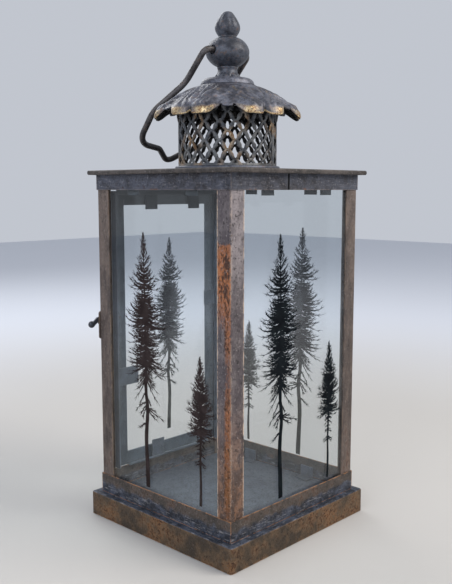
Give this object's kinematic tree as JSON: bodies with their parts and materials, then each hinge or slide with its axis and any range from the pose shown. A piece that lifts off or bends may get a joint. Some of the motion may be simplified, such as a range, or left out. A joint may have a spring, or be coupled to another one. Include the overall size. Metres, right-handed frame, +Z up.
{
  "type": "hanging lantern",
  "caption": "Square metal and glass candle lantern with a hinged door, pierced round chimney, scalloped domed roof, turned finial and a swinging wire bail.",
  "frame": {"origin": "centre of the square base, on the surface the lantern stands on", "axes": "+Z up; -Y is the front pane, +Y the door side, +X the hinge side of the door"},
  "size_m": [0.1508, 0.1504, 0.3795],
  "materials": {
    "aged_frame": "dark antiqued sheet steel with worn copper-brown patches",
    "inner_frame": "dull blue-grey painted sheet",
    "roof_metal": "dark gunmetal with brass rubbed along the rim",
    "pierced_metal": "dark antiqued pierced sheet with worn edges",
    "finial_metal": "dark bronze-grey casting",
    "bail_wire": "dark bronze-grey wire",
    "pane": "clear glass with printed fir trees",
    "hardware": "dark antiqued hinge and latch metal",
    "fixings": "plain steel"
  },
  "bodies": {
    "lantern": {"base_tray": "aged_frame", "curb_band": "aged_frame", "top_band": "aged_frame", "top_plate": "aged_frame", "post_front_left": "aged_frame", "post_front_right": "aged_frame", "post_back_left": "aged_frame", "post_back_right": "aged_frame", "glass_tabs_front": "inner_frame", "glass_tabs_left": "inner_frame", "glass_tabs_right": "inner_frame", "door_stop": "inner_frame", "roof_strap": "inner_frame", "roof": "roof_metal", "roof_cap": "roof_metal", "vent_collar": "pierced_metal", "collar_flange": "pierced_metal", "finial_foot": "finial_metal", "finial_ball": "finial_metal", "finial_bud": "finial_metal", "glass_front": "pane", "glass_left": "pane", "glass_right": "pane", "hinge_lower_post_leaf": "hardware", "hinge_upper_post_leaf": "hardware", "hinge_lower_pin": "hardware", "hinge_upper_pin": "hardware", "hinge_rivets_post": "hardware", "latch_keeper": "hardware", "latch_keeper_pin": "hardware", "keeper_rivets": "hardware", "tie_rod": "fixings", "tie_washer": "fixings", "tie_nut": "fixings"},
    "door": {"door_stile_hinge": "inner_frame", "door_stile_latch": "inner_frame", "door_rail_top": "inner_frame", "door_rail_bottom": "inner_frame", "door_glass": "pane", "door_glass_tabs": "inner_frame", "hinge_lower_door_leaf": "hardware", "hinge_upper_door_leaf": "hardware", "hinge_rivets_door": "hardware", "latch_rivet": "hardware"},
    "latch": {"latch_hook": "hardware"},
    "bail": {"bail_handle": "bail_wire"}
  },
  "joints": [
    {"name": "door_swing", "type": "hinge", "parent": "lantern", "child": "door", "pos_m": [0.055, 0.0703, 0.1416], "axis": [0, 0, -1], "range_deg": [0, 170]},
    {"name": "latch_turn", "type": "hinge", "parent": "door", "child": "latch", "pos_m": [-0.05, 0.0704, 0.153], "axis": [0, 1, 0], "range_deg": [0, 80]},
    {"name": "bail_swing", "type": "hinge", "parent": "lantern", "child": "bail", "pos_m": [0, 0, 0.3508], "axis": [1, 0, 0], "range_deg": [0, 274]}
  ]
}
